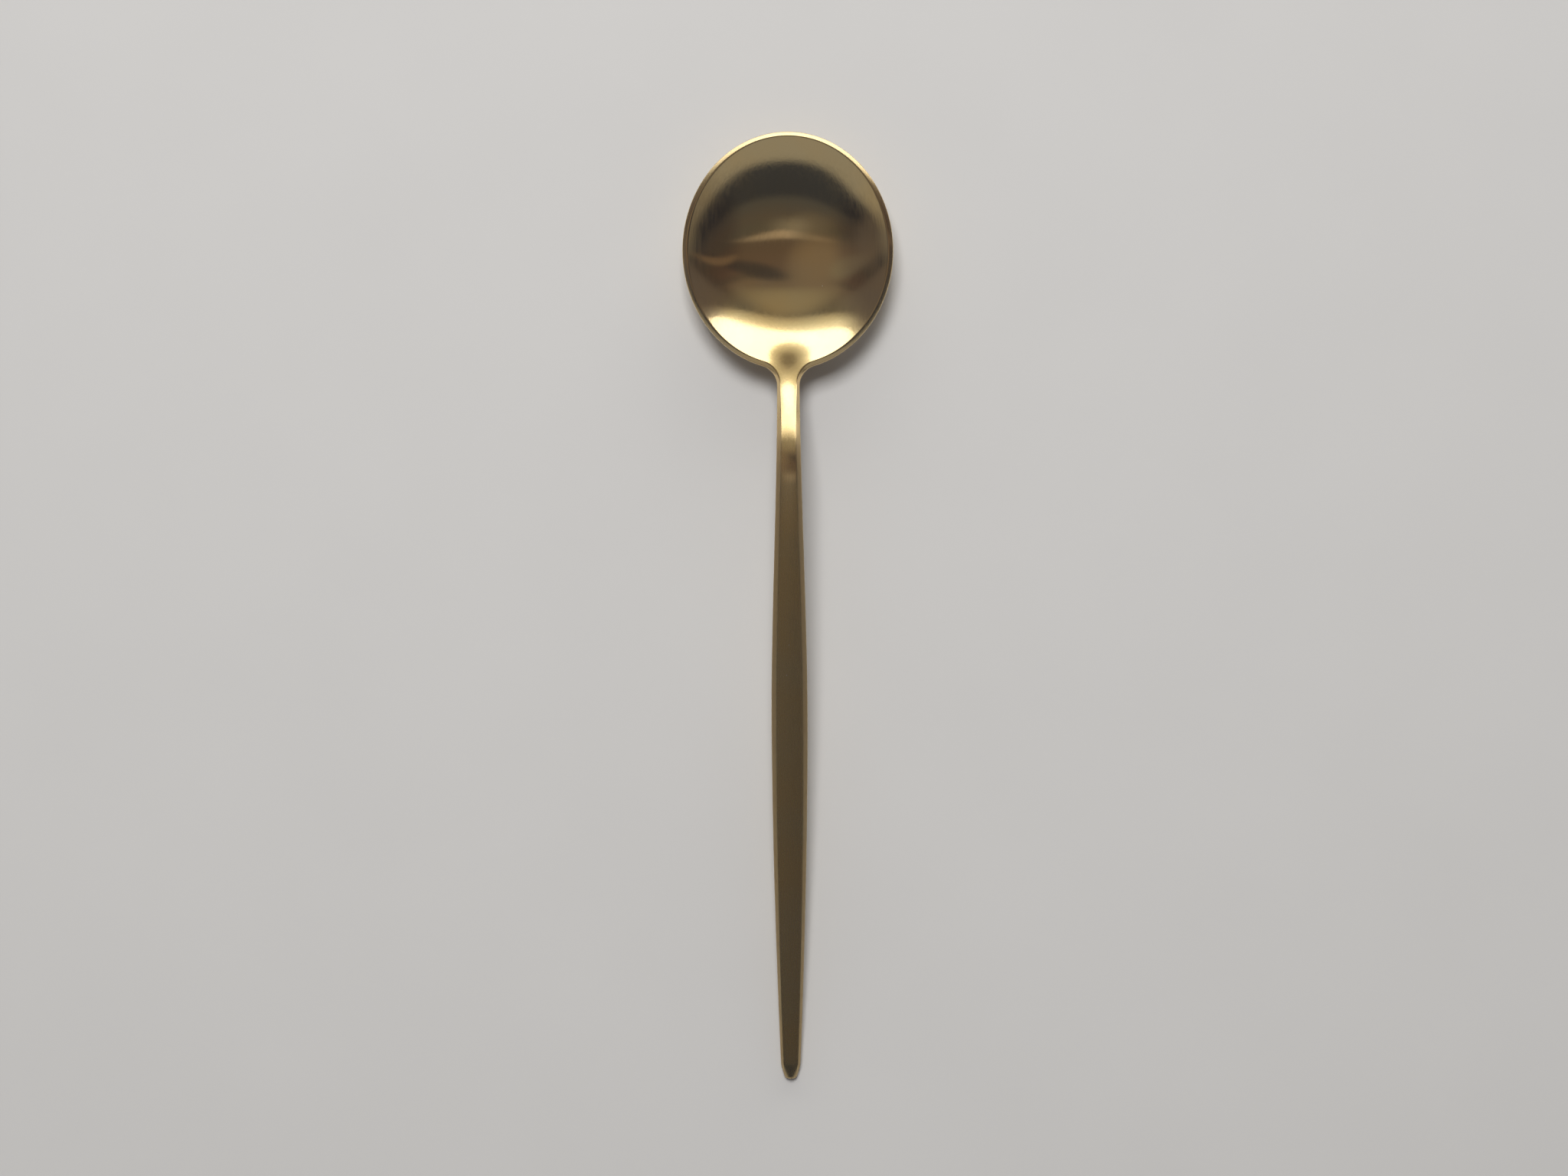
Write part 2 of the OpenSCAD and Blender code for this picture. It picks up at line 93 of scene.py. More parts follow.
@dataclass
class SpoonForm:
    """The outer form of the spoon, in millimetres.

    Heights and widths are given by the run, the distance from the middle of the bowl
    towards the end of the handle.
    """

    bowl_w: float = 30.0
    bowl_l: float = 33.8
    hollow_d: float = 6.2
    bowl_t: float = 1.2
    rim_t: float = 0.9
    foot_w: float = 6.0
    edge_w: float = 0.66
    fillet_edge_w: float = 0.45
    edge_in: float = 7.0
    swell_edge_w: float = 0.75
    end_edge_w: float = 0.3
    rim_drop: float = 0.42
    edge_drop: float = 0.55
    edge_bow: float = 0.15
    neck_l: float = 17.0
    neck_w: float = 3.2
    neck_t: float = 2.6
    fillet_r: float = 3.0
    lip_setback: float = 1.6
    lip_roll: float = 3.4
    lip_slope: float = 23.0
    climb_in: float = 5.2
    climb_slope: float = 30.0
    dip_w: float = 9.0
    trough_l: float = 4.0
    crest_l: float = 9.4
    handle_l: float = 84.9
    wide_l: float = 33.0
    handle_w: float = 5.1
    handle_t: float = 4.0
    end_w: float = 2.6
    end_t: float = 2.0
    end_l: float = 2.3
    end_draw: float = 0.55
    end_r: float = 0.3
    end_power: float = 1.4
    end_round: float = 0.5
    crown: float = 0.12
    belly: float = 0.42
    edge_limit: float = 0.6
    spine_reach: float = 0.5
    taper: float = 1.75
    rim_corner: float = 0.19
    side_corner: float = 0.12
    belly_corner: float = 0.2
    search_steps: int = 50

    def __post_init__(self) -> None:
        """Works out the runs, slopes and heights that follow from the sizes."""
        self.a = self.bowl_w / 2
        self.b = self.bowl_l / 2
        self.ha = self.a - self.edge_w
        self.hb = self.b - self.edge_w
        self.lip_run = self.b - self.lip_setback
        self.roll_run = self.lip_run - self.lip_roll
        self.climb_run = self.lip_run + self.climb_in
        self.trough_run = self.climb_run + self.trough_l
        self.joint_run = self.b + self.neck_l
        self.crest_run = self.joint_run - self.crest_l
        self.wide_run = self.joint_run + self.wide_l
        self.end_run = self.joint_run + self.handle_l
        self.land_run = self.end_run - self.end_l
        self.under_d = self.bowl_t + self.hollow_d - self.rim_t
        self.foot_cut = self.under_d * (self.foot_w / self.bowl_w) ** 2
        self.floor_z = self.bowl_t - self.foot_cut
        self.roll_m = 2 * self.hollow_d * self.roll_run / self.hb**2
        self.lip_m = math.tan(math.radians(self.lip_slope))
        self.climb_m = math.tan(math.radians(self.climb_slope))
        self.roll_z = self.floor_z + self.hollow_d * (self.roll_run / self.hb) ** 2
        self.under_m = 2 * self.under_d * self.roll_run / self.b**2
        self.under_roll_z = self.under_d * (self.roll_run / self.b) ** 2 - self.foot_cut
        self.lip_z = self.roll_z + self.lip_roll * (self.roll_m + self.lip_m) / 2
        self.climb_z = self.lip_z + self.climb_in * (self.lip_m + self.climb_m) / 2
        self.crest_z = self.climb_z + (self.crest_run - self.climb_run) * self.climb_m
        fall = self.crest_z + self.crest_l * self.climb_m / 2 - self.end_t
        self.fall_m = fall / (self.land_run - self.joint_run + self.crest_l / 2)
        self.joint_z = self.crest_z + self.crest_l * (self.climb_m - self.fall_m) / 2
        self.fillet_x = self.neck_w / 2 + self.fillet_r
        self.fillet_a = self._fillet_angle()
        rise, reach = self.b * math.sin(self.fillet_a), self.b * math.cos(self.fillet_a)
        self.fillet_turn = math.atan2(self.a * math.sin(self.fillet_a), reach)
        self.fillet_run = rise + self.fillet_r * math.sin(self.fillet_turn)

    def _fillet_angle(self) -> float:
        """Finds where the fillet of the neck touches the bowl's outline.

        Returns:
            The angle on the outline, in radians.
        """
        low, high = 0.0, math.pi / 2
        for _ in range(self.search_steps):
            mid = (low + high) / 2
            length = math.hypot(self.b * math.cos(mid), self.a * math.sin(mid))
            reach = (self.a + self.fillet_r * self.b / length) * math.cos(mid)
            low, high = (mid, high) if reach > self.fillet_x else (low, mid)
        return (low + high) / 2

    @staticmethod
    def _bend(z: float, m0: float, m1: float, start: float, end: float, s: float) -> float:
        """Returns the height on a bend from slope m0 to slope m1 that starts at height z."""
        t = span(s, start, end)
        return z + (end - start) * (m0 * t + (m1 - m0) * (t**3 - t**4 / 2))

    def end_inset(self, s: float) -> float:
        """Gives how far the rounded end draws in at a run.

        Args:
            s: The run.

        Returns:
            How far, or 0 before the end.
        """
        if s <= self.land_run:
            return 0.0
        t, c = span(s, self.land_run, self.end_run), max(0.0, s - self.end_run + self.end_r)
        drawn = self.end_draw * t**self.end_power + self.end_r
        return drawn - math.sqrt(max(0.0, self.end_r**2 - c * c))

    def half_width(self, s: float) -> float:
        """Gives half the width of the neck or handle at a run.

        Args:
            s: The run.

        Returns:
            Half the width seen from above.
        """
        if s < self.wide_run:
            w = mix(self.neck_w, self.handle_w, ease(span(s, self.fillet_run, self.wide_run)))
        else:
            w = mix(self.handle_w, self.end_w, span(s, self.wide_run, self.end_run) ** self.taper)
        return w / 2 - self.end_inset(s)

    def thickness(self, s: float) -> float:
        """Gives the thickness of the handle at a run past the crest.

        Args:
            s: The run.

        Returns:
            The thickness from top to underside.
        """
        if s < self.wide_run:
            return mix(self.neck_t, self.handle_t, ease(span(s, self.crest_run, self.wide_run)))
        return mix(self.handle_t, self.end_t, span(s, self.wide_run, self.land_run) ** self.taper)

    def neck_share(self, s: float) -> float:
        """Returns how far a run has left the bowl for the neck, from 0 to 1."""
        return ease(span(s, self.roll_run, self.climb_run))

    def spine_z(self, s: float) -> float:
        """Gives the height of the middle of the top face, before the end is rounded.

        Args:
            s: The run.

        Returns:
            The height above the table.
        """
        if s < self.roll_run:
            return self.floor_z + self.hollow_d * (s / self.hb) ** 2
        if s < self.lip_run:
            return self._bend(self.roll_z, self.roll_m, self.lip_m, self.roll_run, self.lip_run, s)
        if s < self.climb_run:
            return self._bend(self.lip_z, self.lip_m, self.climb_m, self.lip_run, self.climb_run, s)
        if s < self.crest_run:
            return self.climb_z + (s - self.climb_run) * self.climb_m
        if s < self.joint_run:
            return self._bend(
                self.crest_z, self.climb_m, -self.fall_m, self.crest_run, self.joint_run, s
            )
        return self.joint_z - (s - self.joint_run) * self.fall_m

    def belly_z(self, s: float) -> float:
        """Gives the height of the middle of the underside, before the end is rounded.

        Args:
            s: The run.

        Returns:
            The height above the table.
        """
        if s < self.roll_run:
            return self.under_d * (s / self.b) ** 2 - self.foot_cut
        if s < self.crest_run:
            t, length = span(s, self.roll_run, self.crest_run), self.crest_run - self.roll_run
            pull = self.under_m * (1 - t) - self.climb_m * t
            level = mix(self.under_roll_z, self.crest_z - self.neck_t, ease(t))
            return level + length * t * (1 - t) * pull
        return self.spine_z(s) - self.thickness(s)

    def top_z(self, s: float) -> float:
        """Returns the height of the middle of the top face."""
        return self.spine_z(s) - self.end_round * self.end_inset(s)

    def under_z(self, s: float) -> float:
        """Returns the height of the middle of the underside."""
        return self.belly_z(s) + self.end_round * self.end_inset(s)

    def edge_z(self, s: float) -> float:
        """Returns the height of the handle's top face at its edge."""
        return self.top_z(s) - self.crown

    def side_h(self, s: float) -> float:
        """Returns the height of the side below the top face, sloped edge included."""
        metal = (self.top_z(s) - self.under_z(s)) * (1 - self.belly) - self.crown
        return mix(self.rim_t, metal, self.neck_share(s))

    def local_edge(self, s: float) -> float:
        """Gives the width of the sloped edge of the neck or handle, seen from above.

        Args:
            s: The run.

        Returns:
            The width.
        """
        if s < self.wide_run:
            swell = max(0.0, span(2 * self.half_width(s), self.neck_w, self.handle_w))
            grown = ease(span(s, self.fillet_run, self.fillet_run + self.edge_in))
            start = mix(self.fillet_edge_w, self.edge_w, grown)
            width = mix(start, self.swell_edge_w, swell)
        else:
            width = mix(self.swell_edge_w, self.end_edge_w, span(s, self.wide_run, self.end_run))
        return min(width, self.edge_limit * self.half_width(s))

    def local_drop(self, s: float) -> float:
        """Returns how far the sloped edge falls."""
        drop = mix(self.rim_drop, self.edge_drop, self.neck_share(s))
        return min(drop, self.edge_limit * self.side_h(s))

    def side_mid_z(self, s: float) -> float:
        """Returns the height of the middle of the side, where the halves of the handle part."""
        return self.edge_z(s) - (self.local_drop(s) + self.side_h(s)) / 2

    def seam_plane(self, lift: float) -> tuple[Vector, Vector]:
        """Gives the plane in which the halves of the handle part.

        Args:
            lift: Distance of the plane above the middle of the seam, in millimetres.

        Returns:
            A point on the plane, in metres, and its normal.
        """
        z0, z1 = self.side_mid_z(self.joint_run), self.side_mid_z(self.end_run)
        rise = (z1 - z0) / (self.end_run - self.joint_run)
        normal = Vector((0.0, rise, 1.0)).normalized()
        return Vector((0.0, -self.joint_run, z0 + lift)) * MM, normal

    def hollow_z(self, x: float, s: float) -> float:
        """Returns the height of the bowl's hollow, or of its even run past the heel."""
        return self.floor_z + self.hollow_d * ((x / self.ha) ** 2 + (s / self.hb) ** 2)

    def upper_z(self, x: float, s: float, ix: float) -> float:
        """Gives the height of the top face.

        Args:
            x: Way sideways from the middle.
            s: The run.
            ix: Way sideways of the inner line of the sloped edge, on the same rib.

        Returns:
            The height above the table.
        """
        if s < self.roll_run:
            return self.hollow_z(x, s)
        dip = math.exp(-((2 * x / self.dip_w) ** 2))
        heel = self.hollow_z(x, s) - (self.hollow_z(0.0, s) - self.top_z(s)) * dip
        neck = self.top_z(s) - self.crown * (x / ix) ** 2
        return mix(heel, neck, ease(span(s, self.lip_run, self.trough_run)))

    def under_point(self, o: tuple[float, float], base: float, q: float) -> Point:
        """Gives a point of the underside.

        Args:
            o: Outline of the rib, as x and run.
            base: Height of the foot of the side.
            q: Share of the way from the outline to the spine.

        Returns:
            The point, as x, run and height.
        """
        x, s = o
        root = self.spine_reach * s if s < 0 else s
        px, ps = x * (1 - q), mix(s, root, q)
        if ps < 0:
            z = self.under_d * ((px / self.a) ** 2 + (ps / self.b) ** 2) - self.foot_cut
        else:
            z = mix(self.under_z(s), base, (1 - q) ** 2)
        a = math.pi / 2 * q
        share = self.neck_share(s)
        rx, rz = x * math.cos(a), mix(base, self.under_z(s), math.sin(a))
        return mix(px, rx, share), mix(ps, s, share), mix(max(0.0, z), rz, share)


@dataclass
class SkinGrid:
    """The skin of the right half of the spoon, as ribs of equal count."""

    form: SpoonForm
    tip_steps: int = 54
    heel_steps: int = 46
    fillet_steps: int = 26
    neck_steps: int = 60
    handle_steps: int = 78
    end_steps: int = 12
    top_steps: int = 24
    edge_steps: int = 4
    corner_steps: int = 3
    under_steps: int = 18
    rim_hold: float = 0.22
    hold_share: float = 0.3
    corner_share: float = 0.45
    joint_margin: float = 0.6
    # Shares of edge wear and painted sheen on the corners and the sloped edge.
    rim_wear_and_sheen: float = 0.2
    side_wear_and_sheen: float = 0.3
    heel_wear_and_sheen: float = 0.4
    least_wear_and_sheen: float = 0.2
    wear_and_sheen_run: float = 8.0
    wear_and_sheen_tip_share: float = 0.35

    def _corner(self, p: Point, q: Point, r: Point, reach: float) -> list[Point]:
        """Rounds the corner at q between p and r.

        Args:
            p: Point before the corner.
            q: The corner.
            r: Point after the corner.
            reach: How far the rounding reaches along each side.

        Returns:
            The points of the rounding.
        """
        vp, vq, vr = Vector(p), Vector(q), Vector(r)
        reach = min(reach, self.corner_share * (vp - vq).length, self.corner_share * (vr - vq).length)
        start = vq + (vp - vq).normalized() * reach
        end = vq + (vr - vq).normalized() * reach
        rounding = []
        for n in range(self.corner_steps + 1):
            t = n / self.corner_steps
            rounding.append(tuple(start * (1 - t) ** 2 + vq * 2 * t * (1 - t) + end * t * t))
        return rounding

    def _wear_and_sheen_share(self, s: float) -> float:
        """Gives how much handling has dulled the edge and how much painted sheen lightens it: least beside
        the bowl, most at the tip and handle.

        Args:
            s: The run.

        Returns:
            The share of wear and painted sheen, up to 1.
        """
        f = self.form
        handle = ease(span(s, f.crest_run, f.crest_run + self.wear_and_sheen_run))
        tip = ease(span(-s, self.wear_and_sheen_tip_share * f.b, f.b))
        return mix(self.least_wear_and_sheen, 1.0, max(handle, tip))

    def rib(self, i: tuple[float, float], o: tuple[float, float]) -> list[tuple[Point, float]]:
        """Draws the half section from the spine over the edge and back below.

        Args:
            i: Inner line of the sloped edge, as x and run.
            o: Outline, as x and run.

        Returns:
            The points, each with its share of edge wear and painted sheen.
        """
        f, s = self.form, i[1]
        top = f.upper_z(i[0], s, i[0])
        base, drop = top - f.side_h(s), f.local_drop(s)
        root = f.spine_reach * s if s < 0 else s
        length = math.hypot(i[0], s - root)
        hold = min(self.rim_hold / length, self.hold_share) if length else 0.0
        face: list[Point] = []
        for n in range(self.top_steps + 1):
            t = n / self.top_steps * (1 - hold)
            x, r = i[0] * t, mix(root, s, t)
            face.append((x, r, f.upper_z(x, r, i[0])))
        slope = [
            (mix(i[0], o[0], t), mix(i[1], o[1], t), top - drop * t * mix(1, t, f.edge_bow))
            for t in (n / self.edge_steps for n in range(self.edge_steps + 1))
        ]
        foot = (o[0], o[1], base)
        middle = (o[0], o[1], (top - drop + base) / 2)
        below = [f.under_point(o, base, n / self.under_steps) for n in range(1, self.under_steps + 1)]
        rim = self._corner(face[-1], slope[0], slope[1], f.rim_corner)
        brow = self._corner(slope[-2], slope[-1], middle, f.side_corner)
        heel = self._corner(middle, foot, below[0], f.belly_corner)
        rib_wear_and_sheen = self._wear_and_sheen_share(s)
        sheen_and_wear = [(p, 0.0) for p in face] + [(p, self.rim_wear_and_sheen * rib_wear_and_sheen) for p in rim]
        sheen_and_wear += [(p, rib_wear_and_sheen) for p in slope[1:-1] + brow]
        sheen_and_wear += [(middle, self.side_wear_and_sheen)] + [(p, self.heel_wear_and_sheen) for p in heel]
        return sheen_and_wear + [(p, 0.0) for p in below]

    def section(self, s: float) -> list[tuple[Point, float]]:
        """Returns the half section of the neck or handle at a run."""
        w = self.form.half_width(s)
        return self.rib((w - self.form.local_edge(s), s), (w, s))

    def ribs(self) -> list[list[tuple[Point, float]]]:
        """Draws the ribs in order.

        Returns:
            The ribs from the tip of the bowl to the end of the handle.
        """
        f, out, tip = self.form, [], -math.pi / 2
        for a in [tip] + stations(tip, 0, self.tip_steps) + stations(0, f.fillet_a, self.heel_steps):
            o = (f.a * math.cos(a), f.b * math.sin(a))
            normal = Vector((f.b * math.cos(a), f.a * math.sin(a))).normalized()
            out.append(self.rib((o[0] - f.edge_w * normal.x, o[1] - f.edge_w * normal.y), o))
        for n in range(1, self.fillet_steps + 1):
            back = 1 - n / self.fillet_steps
            a = math.pi + f.fillet_turn * back
            d, far = (math.cos(a), math.sin(a)), f.fillet_r + mix(f.fillet_edge_w, f.edge_w, ease(back))
            i = (f.fillet_x + far * d[0], f.fillet_run + far * d[1])
            out.append(self.rib(i, (f.fillet_x + f.fillet_r * d[0], f.fillet_run + f.fillet_r * d[1])))
        past, bend = f.joint_run + self.joint_margin, f.end_run - f.end_r
        runs = stations(f.fillet_run, past, self.neck_steps)
        runs += stations(past, f.land_run, self.handle_steps)
        runs += stations(f.land_run, bend, self.end_steps)
        runs += [bend + f.end_r * math.sin(a) for a in stations(0, math.pi / 2, self.end_steps)]
        return out + [self.section(s) for s in runs]


def only(obj: bpy.types.Object) -> None:
    """Selects one object alone and makes it active.

    Args:
        obj: The object.
    """
    bpy.ops.object.select_all(action="DESELECT")
    obj.select_set(True)
    bpy.context.view_layer.objects.active = obj


def apply_modifier(obj: bpy.types.Object, kind: str, **settings: object) -> None:
    """Adds a modifier to an object and applies it.

    Args:
        obj: The object.
        kind: Type of the modifier.
        **settings: Its values.
    """
    only(obj)
    modifier = obj.modifiers.new(kind.lower(), kind)
    for name, value in settings.items():
        setattr(modifier, name, value)
    bpy.ops.object.modifier_apply(modifier=modifier.name)


def edit_all(obj: bpy.types.Object) -> None:
    """Opens an object in edit mode with everything selected.

    Args:
        obj: The object.
    """
    only(obj)
    bpy.ops.object.mode_set(mode="EDIT")
    bpy.ops.mesh.select_all(action="SELECT")


def close_edit() -> None:
    """Leaves edit mode."""
    bpy.ops.object.mode_set(mode="OBJECT")


@dataclass
class SpoonSkin:
    """The whole outer skin of the spoon, from which the pieces are cut."""

    grid: SkinGrid
    skin: bpy.types.Object | None = None

    def build(self) -> bpy.types.Object:
        """Shapes a grid into the right half of the spoon, mirrors it and closes its end.

        Returns:
            The skin, a closed mesh.
        """
        ribs = self.grid.ribs()
        rows, count = len(ribs), len(ribs[0])
        bpy.ops.object.select_all(action="DESELECT")
        bpy.ops.mesh.primitive_grid_add(x_subdivisions=count - 1, y_subdivisions=rows - 1, size=1.0)
        skin = bpy.context.object
        skin.name = "spoon_skin"
        flat = [point for rib in ribs for point in rib]
        wear_and_sheen = skin.data.attributes.new(WEAR_AND_SHEEN, "FLOAT", "POINT")
        for vertex, (point, sheen_and_wear) in zip(skin.data.vertices, flat):
            vertex.co = Vector((point[0], -point[1], point[2])) * MM
            wear_and_sheen.data[vertex.index].value = sheen_and_wear
        apply_modifier(skin, "MIRROR", use_axis=(True, False, False), merge_threshold=MIRROR_MERGE)
        edit_all(skin)
        bpy.ops.mesh.remove_doubles(threshold=WELD)
        bpy.ops.mesh.dissolve_degenerate(threshold=SLIVER)
        bpy.ops.mesh.select_all(action="DESELECT")
        bpy.ops.mesh.select_non_manifold(extend=False, use_wire=False, use_multi_face=False,
                                         use_non_contiguous=False, use_verts=False)
        bpy.ops.mesh.edge_face_add()
        bpy.ops.mesh.select_all(action="SELECT")
        bpy.ops.mesh.normals_make_consistent(inside=False)
        close_edit()
        self.skin = skin
        return skin

    def copy(self, name: str) -> bpy.types.Object:
        """Copies the skin for a piece.

        Args:
            name: Name of the copy.

        Returns:
            The copy, with its own mesh.
        """
        only(self.skin)
        bpy.ops.object.duplicate(linked=False)
        piece = bpy.context.object
        piece.name = piece.data.name = name
        return piece

    def discard(self) -> None:
        """Removes the skin once all pieces are cut from it."""
        bpy.data.objects.remove(self.skin, do_unlink=True)


def cut(obj: bpy.types.Object, at: Vector, normal: Vector, keep: Side, fill: bool = False) -> None:
    """Cuts a piece with a plane and drops one side.

    Args:
        obj: The piece.
        at: A point on the plane, in metres.
        normal: The plane's normal.
        keep: UPPER keeps the side that the normal points to, LOWER the other.
        fill: Whether the cut is closed with a face.
    """
    edit_all(obj)
    bpy.ops.mesh.bisect(
        plane_co=at, plane_no=normal, use_fill=fill, threshold=SLIVER,
        clear_inner=keep is Side.UPPER, clear_outer=keep is Side.LOWER,
    )
    close_edit()


def lay_brush_map(obj: bpy.types.Object, end_facing: float = 0.95, side_facing: float = 0.8) -> None:
    """Lays a map whose first axis runs across the brush lines, so that they run lengthwise.

    Args:
        obj: The piece.
        end_facing: How far a face turns to the spoon's ends to be mapped from there.
        side_facing: How far a face turns to the side to be mapped from there.
    """
    mesh = obj.data
    layer = mesh.uv_layers.new(name=BRUSH_MAP)
    for face in mesh.polygons:
        n = face.normal
        for loop in face.loop_indices:
            x, y, z = mesh.vertices[mesh.loops[loop].vertex_index].co
            if abs(n.y) > end_facing:
                layer.data[loop].uv = (x, z)
            else:
                layer.data[loop].uv = (z, y) if abs(n.x) > side_facing else (x, y)


@dataclass
class Piece:
    """What every piece of the spoon shares: its name, its node and its finish."""

    skin: SpoonSkin
    finish: "MetalFinish"
    node: str = ""
    slot: str = ""
    smooth_angle: float = 32.0
    body: str = "root"

    def cut_across(self, obj: bpy.types.Object, run: float, keep: Side, fill: bool = False) -> None:
        """Cuts a piece straight across at a run; UPPER keeps the side of the bowl."""
        cut(obj, Vector((0, -run * MM, 0)), ALONG, keep, fill)

    def thicken(self, obj: bpy.types.Object, depth: float) -> None:
        """Gives a piece cut from the skin its depth, inwards."""
        apply_modifier(obj, "SOLIDIFY", thickness=depth * MM, offset=-1.0, use_even_offset=False)

    def dress(self, obj: bpy.types.Object) -> bpy.types.Object:
        """Smooths a cut piece, gives it its finish and puts it in place of its node.

        Args:
            obj: The piece.

        Returns:
            The same piece.
        """
        only(obj)
        bpy.ops.object.shade_smooth_by_angle(angle=math.radians(self.smooth_angle))
        lay_brush_map(obj)
        obj.data.materials.clear()
        obj.data.materials.append(self.finish.material())
        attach(obj, self.body)
        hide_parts(self.node)
        log.info("%s: %d faces in %s", obj.name, len(obj.data.polygons), self.finish.name)
        return obj


@dataclass
class Bowl(Piece):
    """The pressed bowl with its neck and the tang behind it."""

    node: str = "bowl"
    slot: str = "satin_gold"
    tang_wall: float = 0.78
    tang_l: float = 30.0
    tang_tip: float = 0.6

    def build(self) -> bpy.types.Object:
        """Cuts the bowl and neck from the skin and draws the tang out of the shoulder.

        Returns:
            The finished piece.
        """
        form = self.skin.grid.form
        bowl = self.skin.copy("spoon_bowl")
        self.cut_across(bowl, form.joint_run, Side.UPPER, fill=True)
        edit_all(bowl)
        bpy.ops.mesh.select_all(action="DESELECT")
        bpy.ops.mesh.select_mode(type="FACE")
        close_edit()
        shoulder = min(bowl.data.polygons, key=lambda face: face.center.y)
        shoulder.select = True
        middle = (form.top_z(form.joint_run) + form.under_z(form.joint_run)) / 2
        tang_run = form.joint_run + self.tang_l
        far = (form.top_z(tang_run) + form.under_z(tang_run)) / 2
        bpy.ops.object.mode_set(mode="EDIT")
        bpy.ops.mesh.inset(thickness=self.tang_wall * MM, use_even_offset=True)
        bpy.ops.mesh.extrude_region_move(
            TRANSFORM_OT_translate={"value": (0, -self.tang_l * MM, (far - middle) * MM)}
        )
        bpy.ops.transform.resize(value=(self.tang_tip, 1, self.tang_tip))
        bpy.ops.mesh.select_mode(type="VERT")
        close_edit()
        return self.dress(bowl)


@dataclass
class HandleShell(Piece):
    """One pressed half of the hollow handle."""

    slot: str = "satin_gold"
    half: Side = Side.UPPER
    mouth_gap: float = 0.15
    seam_t: float = 0.1
    shell_t: float = 0.6

    def build(self) -> bpy.types.Object:
        """Cuts one half of the handle from the skin and gives it the shell's thickness.

        Returns:
            The finished piece.
        """
        form = self.skin.grid.form
        shell = self.skin.copy(f"spoon_{self.node}")
        self.cut_across(shell, form.joint_run + self.mouth_gap, Side.LOWER)
        at, normal = form.seam_plane(self.half.value * self.seam_t / 2)
        cut(shell, at, normal, self.half)
        self.thicken(shell, self.shell_t)
        return self.dress(shell)


@dataclass
class NeckBraze(Piece):
    """The ring of braze between the shoulder of the neck and the mouths of the shells."""

    node: str = "neck_braze"
    slot: str = "gold_braze"
    braze_t: float = 0.15
    depth: float = 0.6

    def build(self) -> bpy.types.Object:
        """Cuts the ring from the skin and gives it its depth.

        Returns:
            The finished piece.
        """
        form = self.skin.grid.form
        ring = self.skin.copy("spoon_neck_braze")
        self.cut_across(ring, form.joint_run, Side.LOWER)
        self.cut_across(ring, form.joint_run + self.braze_t, Side.UPPER)
        self.thicken(ring, self.depth)
        return self.dress(ring)


@dataclass
class SeamBraze(Piece):
    """The line of braze along the sides and round the end, between the shells."""

    node: str = "seam_braze"
    slot: str = "gold_braze"
    mouth_gap: float = 0.15
    seam_t: float = 0.1
    depth: float = 0.6

    def build(self) -> bpy.types.Object:
        """Cuts the line of braze from the skin and gives it its depth.

        Returns:
            The finished piece.
        """
        form = self.skin.grid.form
        seam = self.skin.copy("spoon_seam_braze")
        self.cut_across(seam, form.joint_run + self.mouth_gap, Side.LOWER)
        for half in (Side.UPPER, Side.LOWER):
            at, normal = form.seam_plane(half.value * self.seam_t / 2)
            cut(seam, at, normal, Side.LOWER if half is Side.UPPER else Side.UPPER)
        self.thicken(seam, self.depth)
        return self.dress(seam)


class NodeSheet:
    """A node tree with short calls to add nodes and link them."""

    def __init__(self, tree: bpy.types.NodeTree) -> None:
        """Takes a tree and empties it."""
        self.tree = tree
        tree.nodes.clear()

    def add(self, kind: str, inputs: dict | None = None, **settings: object) -> bpy.types.Node:
        """Adds a node.

        Args:
            kind: The node's type.
            inputs: Values, or sockets to link, by the input's name or number.
            **settings: Properties of the node.

        Returns:
            The node.
        """
        node = self.tree.nodes.new(kind)
        for name, value in settings.items():
            setattr(node, name, value)
        for key, value in (inputs or {}).items():
            if isinstance(value, bpy.types.NodeSocket):
                self.tree.links.new(value, node.inputs[key])
            else:
                node.inputs[key].default_value = value
        return node

    def maths(self, operation: str, *values: object) -> bpy.types.NodeSocket:
        """Returns the result of a sum on values or sockets."""
        return self.add("ShaderNodeMath", dict(enumerate(values)), operation=operation).outputs[0]

    def squared(self, value: object) -> bpy.types.NodeSocket:
        """Returns the square of a value of either sign."""
        return self.maths("POWER", self.maths("ABSOLUTE", value), 2.0)

    def blend(self, share: object, a: object, b: object, way: str = "MIX") -> bpy.types.NodeSocket:
        """Returns a colour blended from a to b, or to a multiplied by b."""
        inputs = {0: share, 6: a, 7: b}
        return self.add("ShaderNodeMix", inputs, data_type="RGBA", blend_type=way).outputs[2]

    def ramp(self, value: object, low: float, high: float, to_low: float = 0.0, to_high: float = 1.0,
             way: str = "SMOOTHSTEP") -> bpy.types.NodeSocket:
        """Returns a value mapped from one range to another, smoothly unless another way is named."""
        ends = {"From Min": low, "From Max": high, "To Min": to_low, "To Max": to_high}
        return self.add("ShaderNodeMapRange", {"Value": value, **ends}, interpolation_type=way).outputs[0]

    def place(self) -> bpy.types.NodeSocket:
        """Returns the place on the object."""
        return self.add("ShaderNodeTexCoord").outputs["Object"]

    def noise(self, place: object, scale: float, detail: float, **more: float) -> bpy.types.NodeSocket:
        """Returns a noise over a place."""
        inputs = {"Vector": place, "Scale": scale, "Detail": detail, **more}
        return self.add("ShaderNodeTexNoise", inputs).outputs[0]

    def surface(self, shader: bpy.types.Node) -> None:
        """Ends the sheet with a shader for the surface."""
        self.add("ShaderNodeOutputMaterial", {"Surface": shader.outputs[0]})


def new_material(name: str) -> tuple[bpy.types.Material, NodeSheet]:
    """Starts a material.

    Args:
        name: The material's name.

    Returns:
        The material and a sheet to fill it.
    """
    material = bpy.data.materials.new(name)
    material.use_nodes = True
    return material, NodeSheet(material.node_tree)


def rgba(colour: Colour) -> tuple[float, float, float, float]:
    """Returns a colour with full alpha."""
    return (*colour, 1.0)


